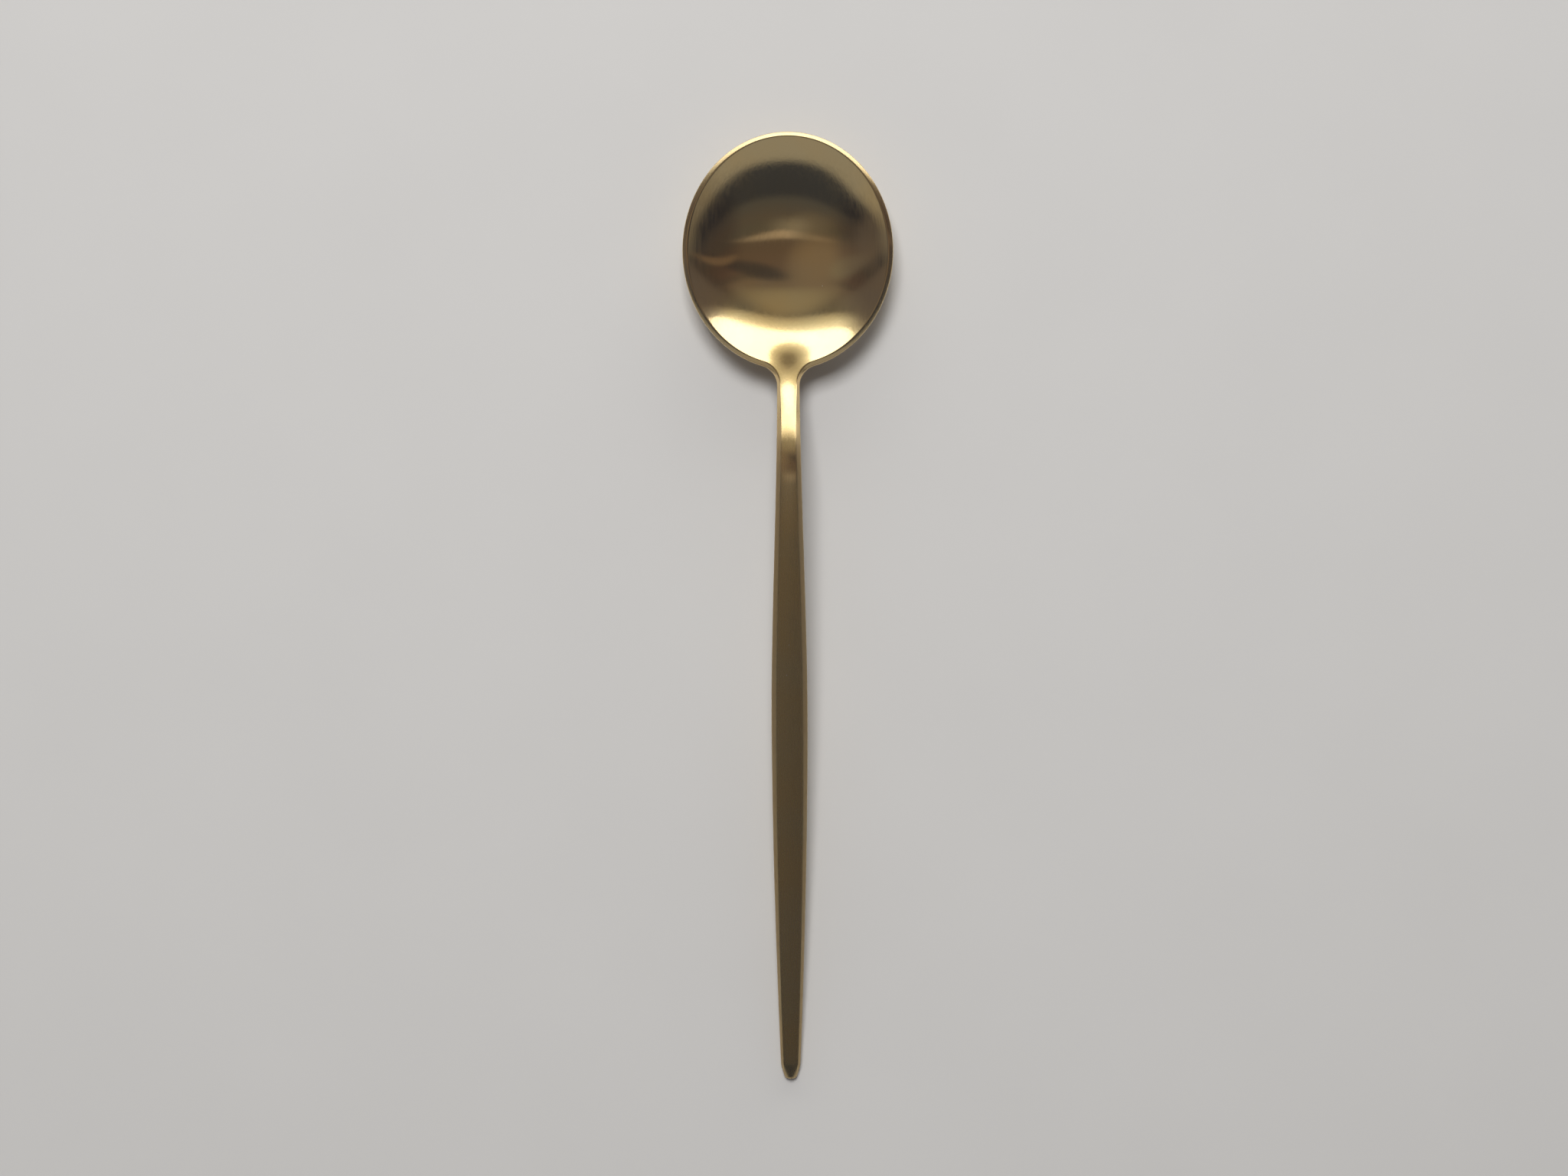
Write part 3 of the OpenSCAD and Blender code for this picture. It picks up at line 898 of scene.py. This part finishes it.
def new_group(
    name: str, inputs: dict[str, float], outputs: list[str]
) -> tuple[bpy.types.NodeTree, NodeSheet]:
    """Starts a shader node group.

    Args:
        name: The group's name.
        inputs: Its number inputs with their usual values; the first input is always Vector.
        outputs: Its number outputs.

    Returns:
        The group and a sheet to fill it.
    """
    tree = bpy.data.node_groups.new(name, "ShaderNodeTree")
    sheet = NodeSheet(tree)
    tree.interface.new_socket("Vector", in_out="INPUT", socket_type="NodeSocketVector")
    for label, value in inputs.items():
        socket = tree.interface.new_socket(label, in_out="INPUT", socket_type="NodeSocketFloat")
        socket.default_value = value
    for label in outputs:
        tree.interface.new_socket(label, in_out="OUTPUT", socket_type="NodeSocketFloat")
    return tree, sheet


@dataclass(frozen=True)
class BrushLines:
    """The fine lines that brushing leaves along the spoon, as a node group."""

    line_w: float = 0.00028
    line_l: float = 0.016
    hair_w: float = 0.00009
    hair_l: float = 0.006
    line_detail: float = 3.0
    hair_detail: float = 2.0
    roughness: float = 0.6

    def group(self) -> bpy.types.NodeTree:
        """Builds the group once.

        Returns:
            The group, which gives the height of the lines and their tone.
        """
        found = bpy.data.node_groups.get("brush_lines")
        if found:
            return found
        tree, sheet = new_group("brush_lines", {"Hairs": 0.5}, ["Height", "Tone"])
        given = sheet.add("NodeGroupInput")
        lines = (self.line_w, self.line_l, self.line_detail)
        hairs = (self.hair_w, self.hair_l, self.hair_detail)
        layers = []
        for width, length, detail in (lines, hairs):
            stretch = {0: given.outputs["Vector"], 1: (1 / width, 1 / length, 1 / width)}
            place = sheet.add("ShaderNodeVectorMath", stretch, operation="MULTIPLY").outputs[0]
            layers.append(sheet.noise(place, 1.0, detail, Roughness=self.roughness))
        height = sheet.maths("ADD", layers[0], sheet.maths("MULTIPLY", layers[1], given.outputs["Hairs"]))
        tone = sheet.ramp(layers[0], *NOISE_RANGE)
        sheet.add("NodeGroupOutput", {"Height": height, "Tone": tone})
        return tree


@dataclass(frozen=True)
class HandlingMarks:
    """Cloudy toning and the odd speck that handling leaves on the metal, as a node group."""

    cloud: float = 0.009
    cloud_detail: float = 3.0
    cloud_roughness: float = 0.5
    speck: float = 0.0026
    bare_share: float = 0.8

    def group(self) -> bpy.types.NodeTree:
        """Builds the group once.

        Returns:
            The group, which gives the clouds and the specks.
        """
        found = bpy.data.node_groups.get("handling_marks")
        if found:
            return found
        tree, sheet = new_group("handling_marks", {"Speck Size": 0.03}, ["Clouds", "Specks"])
        given = sheet.add("NodeGroupInput")
        place = given.outputs["Vector"]
        clouds = sheet.noise(place, 1 / self.cloud, self.cloud_detail, Roughness=self.cloud_roughness)
        cells = sheet.add("ShaderNodeTexVoronoi", {
            "Vector": place, "Scale": 1 / self.speck, "Randomness": 1.0})
        near = sheet.maths("LESS_THAN", cells.outputs["Distance"], given.outputs["Speck Size"])
        part = sheet.add("ShaderNodeSeparateColor", {0: cells.outputs["Color"]})
        few = sheet.maths("GREATER_THAN", part.outputs[0], self.bare_share)
        sheet.add("NodeGroupOutput", {
            "Clouds": sheet.ramp(clouds, *NOISE_RANGE),
            "Specks": sheet.maths("MULTIPLY", near, few)})
        return tree


@dataclass(frozen=True)
class MetalFinish:
    """Satin-brushed metal with a champagne-gold coat, its colour darkened towards the handle as painted
    shade and lightened at the edges by wear and painted sheen.
    """

    name: str = "satin_champagne_gold"
    warm: Colour = (0.84, 0.61, 0.30)
    cool: Colour = (0.80, 0.62, 0.34)
    # Paler gold for the edges: partly rubbed wear, partly painted sheen.
    wear_and_sheen_colour: Colour = (0.90, 0.71, 0.42)
    bowl_roughness: float = 0.12
    handle_roughness: float = 0.27
    rough_range: float = 0.05
    # Painted shade: the handle's colour is multiplied by this share, standing in for the darker room it
    # mirrors.
    handle_painted_shade: float = 0.78
    bowl_end: tuple[float, float] = (-0.027, -0.019)
    # Run over which the painted shade of the handle sets in.
    handle_shade_span: tuple[float, float] = (-0.043, -0.027)
    anisotropy: float = 0.7
    line_height: float = 0.0000035
    hairs: float = 0.5
    edge_dullness: float = 0.32
    # How far the edges are lightened towards the paler gold, as wear and painted sheen.
    edge_shine: float = 0.6
    speck_colour: Colour = (0.95, 0.9, 0.8)
    speck_share: float = 0.7
    speck_dullness: float = 0.4

    def material(self) -> bpy.types.Material:
        """Builds the material once.

        Returns:
            The material.
        """
        found = bpy.data.materials.get(self.name)
        if found:
            return found
        material, sheet = new_material(self.name)
        place = sheet.place()
        lines = sheet.add("ShaderNodeGroup", node_tree=BrushLines().group())
        marks = sheet.add("ShaderNodeGroup", node_tree=HandlingMarks().group())
        for node in (lines, marks):
            sheet.tree.links.new(place, node.inputs["Vector"])
        lines.inputs["Hairs"].default_value = self.hairs
        wear_and_sheen = sheet.add("ShaderNodeAttribute", attribute_name=WEAR_AND_SHEEN).outputs["Fac"]
        tint = sheet.blend(marks.outputs["Clouds"], rgba(self.warm), rgba(self.cool))
        along = sheet.add("ShaderNodeSeparateXYZ", {0: place}).outputs[1]
        # Painted shade: the colour darkens from the neck towards the handle.
        tone = sheet.ramp(along, *self.handle_shade_span, self.handle_painted_shade, 1.0)
        deep = sheet.blend(1.0, tint, tone, "MULTIPLY")
        # Edges lightened towards the paler gold: partly rubbed wear, partly a painted highlight where they
        # mirror the lighter room.
        bright = sheet.blend(sheet.maths("MULTIPLY", wear_and_sheen, self.edge_shine), deep, rgba(self.wear_and_sheen_colour))
        specks = marks.outputs["Specks"]
        colour = sheet.blend(
            sheet.maths("MULTIPLY", specks, self.speck_share), bright, rgba(self.speck_colour))
        rough = sheet.ramp(lines.outputs["Tone"], 0.0, 1.0, -self.rough_range / 2, self.rough_range / 2)
        for more in (
            sheet.ramp(along, *self.bowl_end, self.handle_roughness, self.bowl_roughness),
            sheet.maths("MULTIPLY", wear_and_sheen, self.edge_dullness),
            sheet.maths("MULTIPLY", specks, self.speck_dullness),
        ):
            rough = sheet.maths("ADD", rough, more)
        bump = sheet.add("ShaderNodeBump", {
            "Height": lines.outputs["Height"], "Strength": 1.0, "Distance": self.line_height})
        across = sheet.add("ShaderNodeTangent", direction_type="UV_MAP", uv_map=BRUSH_MAP)
        shader = sheet.add("ShaderNodeBsdfPrincipled", {
            "Base Color": colour, "Metallic": 1.0, "Roughness": rough, "Normal": bump.outputs[0],
            "Anisotropic": self.anisotropy, "Tangent": across.outputs[0]})
        sheet.surface(shader)
        return material


@dataclass(frozen=True)
class CementFinish:
    """The dull filled resin inside the handle."""

    name: str = "handle_cement"
    pale: Colour = (0.64, 0.61, 0.55)
    dark: Colour = (0.52, 0.49, 0.43)
    grain: float = 0.0008
    grain_detail: float = 4.0
    grain_height: float = 0.0001
    grain_strength: float = 0.5
    roughness: tuple[float, float] = (0.75, 0.9)

    def material(self) -> bpy.types.Material:
        """Builds the material.

        Returns:
            The material.
        """
        material, sheet = new_material(self.name)
        grain = sheet.noise(sheet.place(), 1 / self.grain, self.grain_detail)
        bump = sheet.add("ShaderNodeBump", {
            "Height": grain, "Strength": self.grain_strength, "Distance": self.grain_height})
        sheet.surface(sheet.add("ShaderNodeBsdfPrincipled", {
            "Base Color": sheet.blend(grain, rgba(self.pale), rgba(self.dark)),
            "Roughness": sheet.ramp(grain, *NOISE_RANGE, *self.roughness), "Normal": bump.outputs[0]}))
        return material


@dataclass
class Filler:
    """The cement in the handle, which stays as it was packed."""

    node: str = "handle_filler"
    finish: CementFinish = field(default_factory=CementFinish)

    def dress(self) -> bpy.types.Object:
        """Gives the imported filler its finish.

        Returns:
            The node's object.
        """
        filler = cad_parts[self.node]
        filler.data.materials.clear()
        filler.data.materials.append(self.finish.material())
        log.info("%s: kept, in %s", self.node, self.finish.name)
        return filler


@dataclass(frozen=True)
class RoomPatch:
    """A soft patch of the room that the metal mirrors, placed by its way sideways and its lean."""

    side: float
    lean: float
    reach_side: float
    reach_lean: float
    colour: Colour
    share: float = 1.0
    bow: float = 0.0
    tilt: float = 0.0

    def lay(self, sheet: NodeSheet, side: bpy.types.NodeSocket, lean: bpy.types.NodeSocket,
            room: bpy.types.NodeSocket) -> bpy.types.NodeSocket:
        """Lays the patch over the room.

        Args:
            sheet: The world's nodes.
            side: How far a direction points sideways.
            lean: How far it leans from straight up towards the tip.
            room: The colour of the room so far.

        Returns:
            The colour of the room with the patch.
        """
        off = sheet.maths("SUBTRACT", side, self.side)
        bowed = sheet.maths("MULTIPLY", off, math.radians(self.bow))
        climb = sheet.maths("ADD", bowed, math.radians(self.tilt))
        level = sheet.maths("ADD", sheet.maths("MULTIPLY", off, climb), math.radians(self.lean))
        rise = sheet.maths("SUBTRACT", lean, level)
        across = sheet.squared(sheet.maths("DIVIDE", off, self.reach_side))
        along = sheet.squared(sheet.maths("DIVIDE", rise, math.radians(self.reach_lean)))
        far = sheet.maths("ADD", across, along)
        return sheet.blend(sheet.ramp(far, 0.0, 1.0, self.share, 0.0), room, rgba(self.colour))


@dataclass
class Studio:
    """The pale floor, the soft light from the tip's side and the camera above."""

    pixel: float = 0.00010905
    frame_w: int = 2048
    frame_h: int = 1536
    bowl_px: tuple[float, float] = (1029.0, 328.0)
    lean: float = 0.0037
    focus_z: float = 0.006
    distance: float = 0.36
    sensor_w: float = 36.0
    clip: tuple[float, float] = (0.01, 20.0)
    floor_colour: Colour = (0.60, 0.592, 0.58)
    floor_w: float = 6.0
    floor_roughness: float = 0.9
    mottle_scale: float = 40.0
    mottle_detail: float = 3.0
    mottle_share: float = 0.96
    window_w: float = 1.41
    window_mid: float = 0.209
    window_top: float = 0.394
    window_far: float = 0.7
    window_right: float = 0.12
    window_radiance: float = 1.7
    window_colour: Colour = (1.0, 0.985, 0.96)
    overhead_w: float = 0.3
    overhead_at: Point = (-0.07, 0.27, 0.78)
    overhead_level: float = 0.78
    card_reach: tuple[float, float] = (0.13, 0.042)
    card_at: Point = (-0.01, -0.059, 0.25)
    card_w: float = 0.4
    card_radiance: float = 0.1
    card_colour: Colour = (1.0, 0.96, 0.9)
    pull_power: float = 4.0
    pull_along: tuple[float, float] = (-0.1, 0.5)
    pull_share: tuple[float, float] = (0.33, 0.58)
    left_pull_along: tuple[float, float] = (0.1, 0.5)
    left_pull: float = 0.16
    past_window: Colour = (0.18, 0.17, 0.17)
    past_mid: float = 0.04
    past_side: tuple[float, float] = (0.58, 0.8)
    past_lean: tuple[float, float] = (46, 54)
    ceiling_lean: tuple[float, float] = (-54, -48)
    side_tint: Colour = (0.66, 0.64, 0.74)
    tint_side: tuple[float, float] = (0.62, 0.84)
    right_ceiling: Colour = (0.68, 0.66, 0.66)
    ceiling_side: tuple[float, float] = (0.7, 0.95)
    side_horizon: Colour = (0.2, 0.2, 0.21)
    horizon_side: tuple[float, float] = (0.945, 1.0)
    bands: tuple[tuple[float, Colour], ...] = (
        (-90, (0.16, 0.16, 0.16)), (-79, (0.16, 0.16, 0.16)), (-70, (0.31, 0.31, 0.31)),
        (-55, (0.31, 0.31, 0.31)), (-52, (0.046, 0.053, 0.078)),
        (-36, (0.044, 0.05, 0.072)), (-32, (0.084, 0.088, 0.104)), (-22, (0.1, 0.093, 0.097)),
        (-13, (0.096, 0.096, 0.1)), (-3, (0.11, 0.092, 0.09)), (16, (0.13, 0.104, 0.104)),
        (23, (0.108, 0.098, 0.102)), (28, (0.165, 0.142, 0.138)), (51.5, (0.142, 0.138, 0.13)),
        (53.5, (0.42, 0.4, 0.34)), (57.5, (0.7, 0.7, 0.6)), (61, (1.1, 1.1, 1.0)),
        (90, (0.9, 0.9, 0.84)),
    )
    patches: tuple[RoomPatch, ...] = (
        RoomPatch(side=0.03, lean=-8.5, reach_side=0.85, reach_lean=4.2,
                  colour=(0.35, 0.31, 0.29), bow=15),
        RoomPatch(side=-0.45, lean=17, reach_side=0.6, reach_lean=30,
                  colour=(0.205, 0.175, 0.157)),
        RoomPatch(side=0.5, lean=20.5, reach_side=0.58, reach_lean=8.5,
                  colour=(0.062, 0.06, 0.075), bow=12),
        RoomPatch(side=0.0, lean=42, reach_side=0.76, reach_lean=13,
                  colour=(0.28, 0.258, 0.215)),
        RoomPatch(side=-0.77, lean=25, reach_side=0.2, reach_lean=13,
                  colour=(0.22, 0.21, 0.19)),
        RoomPatch(side=0.85, lean=23.5, reach_side=0.16, reach_lean=6.5,
                  colour=(0.27, 0.215, 0.165), share=0.85, tilt=80),
        RoomPatch(side=0.88, lean=50, reach_side=0.26, reach_lean=14,
                  colour=(0.09, 0.085, 0.09), share=0.7),
        RoomPatch(side=-0.93, lean=5, reach_side=0.1, reach_lean=48,
                  colour=(0.2, 0.19, 0.19), share=0.6),
        RoomPatch(side=-0.32, lean=-14, reach_side=0.4, reach_lean=13,
                  colour=(0.16, 0.147, 0.138), share=0.7),
    )

    @staticmethod
    def _plane(name: str, width: float, at: Point) -> bpy.types.Object:
        """Adds a square plane.

        Args:
            name: The plane's name.
            width: Its width.
            at: Its middle.

        Returns:
            The plane.
        """
        bpy.ops.object.select_all(action="DESELECT")
        bpy.ops.mesh.primitive_plane_add(size=width, location=at)
        plane = bpy.context.object
        plane.name = name
        return plane

    def floor(self) -> bpy.types.Object:
        """Lays a pale floor under the spoon.

        Returns:
            The floor.
        """
        floor = self._plane("floor", self.floor_w, (0, 0, 0))
        material, sheet = new_material("pale_floor")
        mottle = sheet.noise(sheet.place(), self.mottle_scale, self.mottle_detail)
        darker = tuple(c * self.mottle_share for c in self.floor_colour)
        colour = sheet.blend(mottle, rgba(self.floor_colour), rgba(darker))
        sheet.surface(sheet.add("ShaderNodeBsdfPrincipled", {
            "Base Color": colour, "Roughness": self.floor_roughness}))
        floor.data.materials.append(material)
        return floor

    def camera(self) -> bpy.types.Object:
        """Hangs the camera straight above the spoon, with the spoon where the picture has it.

        Returns:
            The camera.
        """
        data = bpy.data.cameras.new("camera_above")
        data.sensor_fit, data.sensor_width = "HORIZONTAL", self.sensor_w
        data.lens = data.sensor_width * self.distance / (self.pixel * self.frame_w)
        data.clip_start, data.clip_end = self.clip
        camera = bpy.data.objects.new("camera_above", data)
        right = (self.frame_w / 2 - self.bowl_px[0]) * self.pixel
        down = (self.frame_h / 2 - self.bowl_px[1]) * self.pixel
        turn = -self.lean
        camera.location = (
            right * math.cos(turn) + down * math.sin(turn),
            right * math.sin(turn) - down * math.cos(turn),
            self.focus_z + self.distance,
        )
        camera.rotation_euler = (0.0, 0.0, turn)
        bpy.context.collection.objects.link(camera)
        bpy.context.scene.camera = camera
        return camera

    @staticmethod
    def _hang(data: bpy.types.Light, at: Point, turn: tuple[float, float, float]) -> bpy.types.Object:
        """Hangs a light that the camera doesn't see.

        Args:
            data: The light.
            at: Its place.
            turn: Its rotation.

        Returns:
            The light's object.
        """
        lamp = bpy.data.objects.new(data.name, data)
        lamp.location, lamp.rotation_euler = at, turn
        lamp.visible_camera = False
        bpy.context.collection.objects.link(lamp)
        return lamp

    def window(self) -> bpy.types.Object:
        """Sets up the large soft light that stands past the tip of the bowl.

        Returns:
            The light.
        """
        height = 2 * (self.window_top - self.window_mid)
        data = bpy.data.lights.new("soft_window", "AREA")
        data.shape, data.size, data.size_y = "ELLIPSE", self.window_w, height
        data.energy = self.window_radiance * math.pi * math.pi / 4 * self.window_w * height
        data.color = self.window_colour
        at = (self.window_right, self.window_far, self.window_mid)
        return self._hang(data, at, (-math.pi / 2, 0.0, 0.0))

    def overhead(self) -> bpy.types.Object:
        """Hangs a large soft light above, which metal doesn't mirror, to light the room plainly.

        Returns:
            The light.
        """
        at = Vector(self.overhead_at)
        data = bpy.data.lights.new("soft_overhead", "AREA")
        data.shape, data.size = "SQUARE", self.overhead_w
        data.energy = self.overhead_level * math.pi**2 * at.length**3 / at.z
        lamp = self._hang(data, at, at.to_track_quat("Z", "Y").to_euler())
        lamp.visible_glossy = False
        return lamp

    def card(self) -> bpy.types.Object:
        """Hangs a small dim card over the bowl, soft at its edge, which only the metal shows.

        Returns:
            The card.
        """
        card = self._plane("dim_card", self.card_w, self.card_at)
        material, sheet = new_material("dim_card")
        wide, deep = self.card_reach
        shrink = {0: sheet.place(), 1: (1 / wide, 1 / deep, 0.0)}
        share = sheet.add("ShaderNodeVectorMath", shrink, operation="MULTIPLY").outputs[0]
        far = sheet.add("ShaderNodeVectorMath", {0: share}, operation="LENGTH").outputs["Value"]
        level = sheet.ramp(far, 0.0, 1.0, self.card_radiance, 0.0)
        glow = sheet.add("ShaderNodeEmission", {"Color": rgba(self.card_colour), "Strength": level})
        clear = sheet.add("ShaderNodeBsdfTransparent")
        sheet.surface(sheet.add("ShaderNodeAddShader", {0: glow.outputs[0], 1: clear.outputs[0]}))
        card.data.materials.append(material)
        card.visible_camera = card.visible_diffuse = card.visible_shadow = False
        return card

    def _pull(self, sheet: NodeSheet, side: bpy.types.NodeSocket,
              ahead: bpy.types.NodeSocket) -> bpy.types.NodeSocket:
        """Works out how far the bands of the room bend towards the tip at the sides.

        Args:
            sheet: The world's nodes.
            side: How far a direction points sideways.
            ahead: How far it points towards the tip.

        Returns:
            How far the bands are pulled.
        """
        sideways = sheet.maths("POWER", sheet.maths("ABSOLUTE", side), self.pull_power)
        both = sheet.maths("MULTIPLY", sideways, sheet.ramp(ahead, *self.pull_along, *self.pull_share))
        left = sheet.squared(sheet.maths("MINIMUM", side, 0.0))
        apart = sheet.ramp(sheet.maths("ABSOLUTE", ahead), *self.left_pull_along, 0.0, self.left_pull)
        return sheet.maths("ADD", both, sheet.maths("MULTIPLY", left, apart))

    def _banded(self, sheet: NodeSheet, lean: bpy.types.NodeSocket) -> bpy.types.NodeSocket:
        """Lays the bands of the room.

        Args:
            sheet: The world's nodes.
            lean: How far a direction leans from straight up towards the tip.

        Returns:
            The colour of the bands.
        """
        share = sheet.ramp(lean, -math.pi / 2, math.pi / 2, way="LINEAR")
        node = sheet.add("ShaderNodeValToRGB", {0: share})
        stops = node.color_ramp.elements
        while len(stops) < len(self.bands):
            stops.new(0.5)
        for stop, (angle, colour) in zip(stops, self.bands):
            stop.position = span(angle, -90, 90)
            stop.color = rgba(colour)
        return node.outputs[0]

    def sky(self) -> bpy.types.World:
        """Fills the room with dim soft light, darker behind the camera and lighter low down.

        Returns:
            The world.
        """
        world = bpy.data.worlds.new("soft_room")
        bpy.context.scene.world = world
        world.use_nodes = True
        sheet = NodeSheet(world.node_tree)
        way = sheet.add("ShaderNodeTexCoord").outputs["Generated"]
        side, ahead, up = sheet.add("ShaderNodeSeparateXYZ", {0: way}).outputs
        sideways = sheet.maths("ABSOLUTE", side)
        lean = sheet.maths("ARCTAN2", ahead, up)
        pulled = sheet.maths("ARCTAN2", sheet.maths("SUBTRACT", ahead, self._pull(sheet, side, ahead)), up)
        room = self._banded(sheet, pulled)
        for patch in self.patches:
            room = patch.lay(sheet, side, lean, room)
        beside = sheet.maths("ABSOLUTE", sheet.maths("SUBTRACT", side, self.past_mid))
        low = sheet.ramp(lean, *map(math.radians, self.past_lean))
        past = sheet.maths("MULTIPLY", sheet.ramp(beside, *self.past_side), low)
        room = sheet.blend(past, room, rgba(self.past_window))
        border = [math.radians(angle) for angle in self.ceiling_lean]
        off = sheet.maths("MULTIPLY", sheet.ramp(sideways, *self.tint_side), sheet.ramp(pulled, *border))
        room = sheet.blend(off, room, rgba(self.side_tint), "MULTIPLY")
        behind = sheet.ramp(pulled, *border, 1.0, 0.0)
        ceiling = sheet.maths("MULTIPLY", sheet.ramp(side, *self.ceiling_side), behind)
        room = sheet.blend(ceiling, room, rgba(self.right_ceiling), "MULTIPLY")
        room = sheet.blend(sheet.ramp(sideways, *self.horizon_side), room, rgba(self.side_horizon))
        light = sheet.add("ShaderNodeBackground", {"Color": room, "Strength": 1.0})
        sheet.add("ShaderNodeOutputWorld", {"Surface": light.outputs[0]})
        return world

    def build(self) -> None:
        """Sets up the whole studio."""
        self.floor()
        self.window()
        self.overhead()
        self.card()
        self.sky()
        self.camera()
        bpy.context.scene.view_settings.view_transform = "Standard"


def main() -> None:
    """Builds the pieces in order, dresses them and sets up the studio."""
    logging.basicConfig(level=logging.INFO, format="%(message)s")
    gold = MetalFinish()
    braze = MetalFinish(name="gold_braze_filed_flush", hairs=0.6)
    skin = SpoonSkin(SkinGrid(SpoonForm()))
    skin.build()
    pieces = [
        Bowl(skin, gold).build(),
        HandleShell(skin, gold, node="handle_upper_shell", half=Side.UPPER).build(),
        HandleShell(skin, gold, node="handle_lower_shell", half=Side.LOWER).build(),
        NeckBraze(skin, braze).build(),
        SeamBraze(skin, braze).build(),
    ]
    skin.discard()
    Filler().dress()
    Studio().build()
    log.info("%d pieces cut from the skin", len(pieces))


if __name__ == "__main__":
    main()
